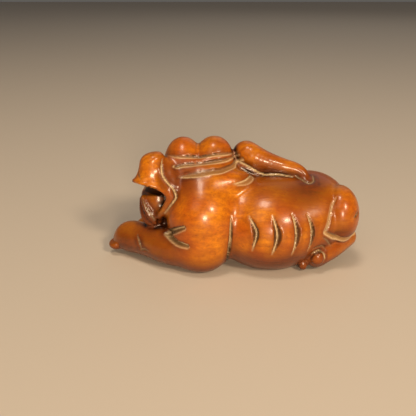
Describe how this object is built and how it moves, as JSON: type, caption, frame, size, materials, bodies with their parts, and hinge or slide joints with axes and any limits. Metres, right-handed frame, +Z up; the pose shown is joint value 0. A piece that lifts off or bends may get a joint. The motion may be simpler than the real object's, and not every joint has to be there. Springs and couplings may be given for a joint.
{
  "type": "wooden elephant figurine",
  "caption": "Small carved boxwood elephant lying down with its head turned back and its trunk laid along its spine.",
  "frame": {"origin": "on the underside, below the middle of the carving's bounding box", "axes": "+X from the front foot towards the rump, -Y out of the near flank that the picture shows, +Z up"},
  "size_m": [0.063, 0.0334, 0.0308],
  "materials": {
    "boxwood": "honey-amber boxwood, hand carved, stained darker in the folds and wax polished to a soft gloss"
  },
  "bodies": {
    "root": {"elephant": "boxwood"}
  },
  "joints": []
}
